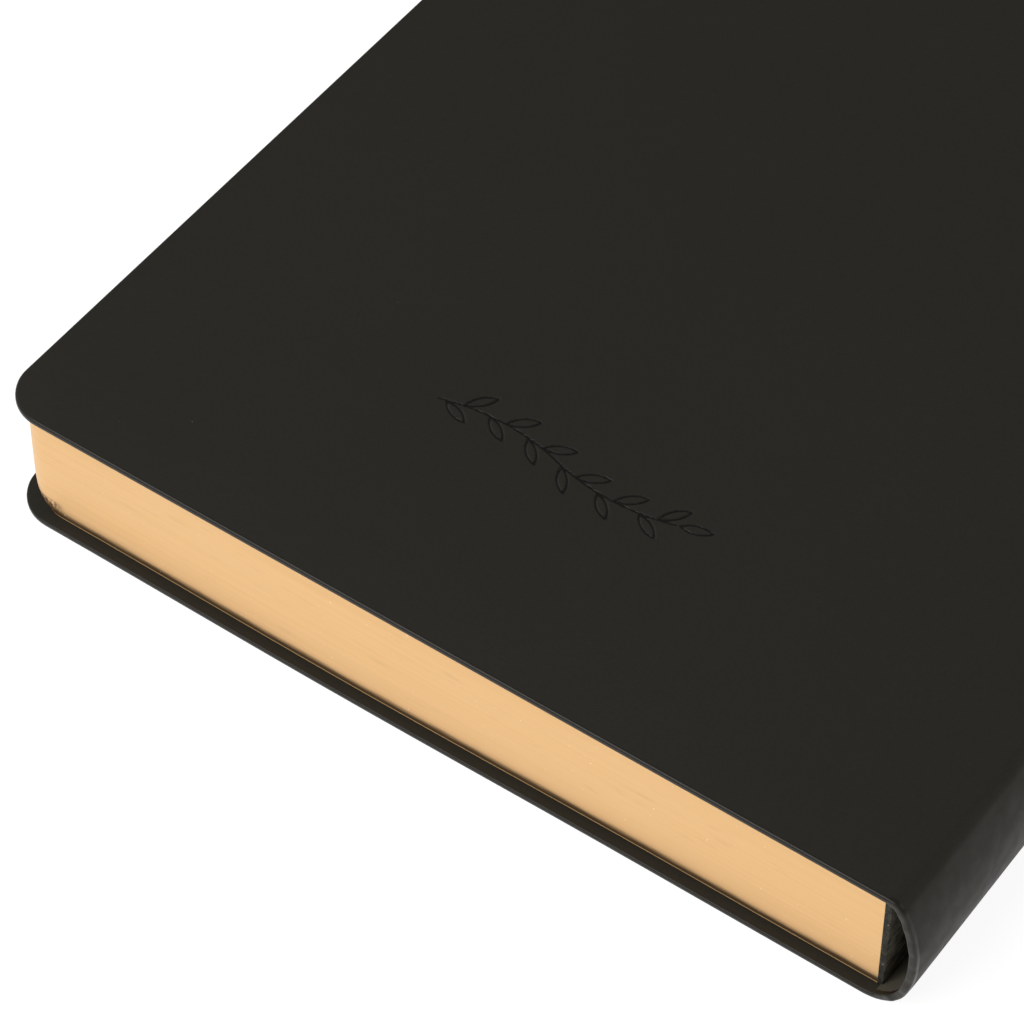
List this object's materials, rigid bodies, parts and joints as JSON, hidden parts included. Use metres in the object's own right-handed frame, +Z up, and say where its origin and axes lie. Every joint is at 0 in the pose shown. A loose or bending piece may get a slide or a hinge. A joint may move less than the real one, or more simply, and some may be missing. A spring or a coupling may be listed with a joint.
{
  "type": "soft-cover book",
  "caption": "Thick soft-cover book with gilt page edges, rounded corners and a hollow-back spine; both covers swing open and the page block opens flat at its middle.",
  "frame": {"origin": "on the surface the book rests on, under the centre of its bounding box at rest", "axes": "+X from the fore-edge to the spine, +Y from the tail to the head, +Z up through the closed book"},
  "size_m": [0.1512, 0.215, 0.0224],
  "materials": {
    "cover_leather": "soft-touch matte charcoal leatherette",
    "cover_board": "grey flexible board",
    "endpaper": "black uncoated paper",
    "gilt_pages": "cream paper with polished gilt edges",
    "crepe_lining": "dark crepe paper",
    "mull_gauze": "open cotton gauze",
    "spine_glue": "dried flexible adhesive",
    "thread": "waxed linen thread"
  },
  "bodies": {
    "lower_block": {"front_flyleaf": "endpaper", "signature_01": "gilt_pages", "signature_02": "gilt_pages", "signature_03": "gilt_pages", "signature_04": "gilt_pages", "signature_05": "gilt_pages", "signature_06": "gilt_pages", "signature_07": "gilt_pages", "signature_08": "gilt_pages"},
    "spine": {"spine_leather": "cover_leather", "spine_inlay": "cover_board", "front_joint_leather": "cover_leather", "back_joint_leather": "cover_leather", "spine_glue": "spine_glue", "sewing_thread": "thread", "spine_mull": "mull_gauze", "spine_crepe": "crepe_lining"},
    "upper_block": {"signature_09": "gilt_pages", "signature_10": "gilt_pages", "signature_11": "gilt_pages", "signature_12": "gilt_pages", "signature_13": "gilt_pages", "signature_14": "gilt_pages", "signature_15": "gilt_pages", "signature_16": "gilt_pages", "back_flyleaf": "endpaper"},
    "front_cover": {"front_cover_leather": "cover_leather", "front_cover_board": "cover_board", "front_pastedown": "endpaper"},
    "back_cover": {"back_cover_leather": "cover_leather", "back_cover_board": "cover_board", "back_pastedown": "endpaper"}
  },
  "joints": [
    {"name": "book_opening", "type": "hinge", "parent": "lower_block", "child": "spine", "pos_m": [0.0746, 0, 0.0023], "axis": [0, 1, 0], "range_deg": [0, 90], "deforming": ["front_joint_leather"]},
    {"name": "far_half_opening", "type": "hinge", "parent": "spine", "child": "upper_block", "pos_m": [0.0746, 0, 0.0214], "axis": [0, 1, 0], "range_deg": [0, 90], "deforming": ["back_joint_leather"]},
    {"name": "front_cover_hinge", "type": "hinge", "parent": "lower_block", "child": "front_cover", "pos_m": [0.0699, 0, 0.0006], "axis": [0, -1, 0], "range_deg": [0, 180]},
    {"name": "back_cover_hinge", "type": "hinge", "parent": "upper_block", "child": "back_cover", "pos_m": [0.0699, 0, 0.02315], "axis": [0, 1, 0], "range_deg": [0, 180]}
  ],
  "couplings": [
    {"joint": "far_half_opening", "follows": "book_opening", "ratio": 1}
  ]
}
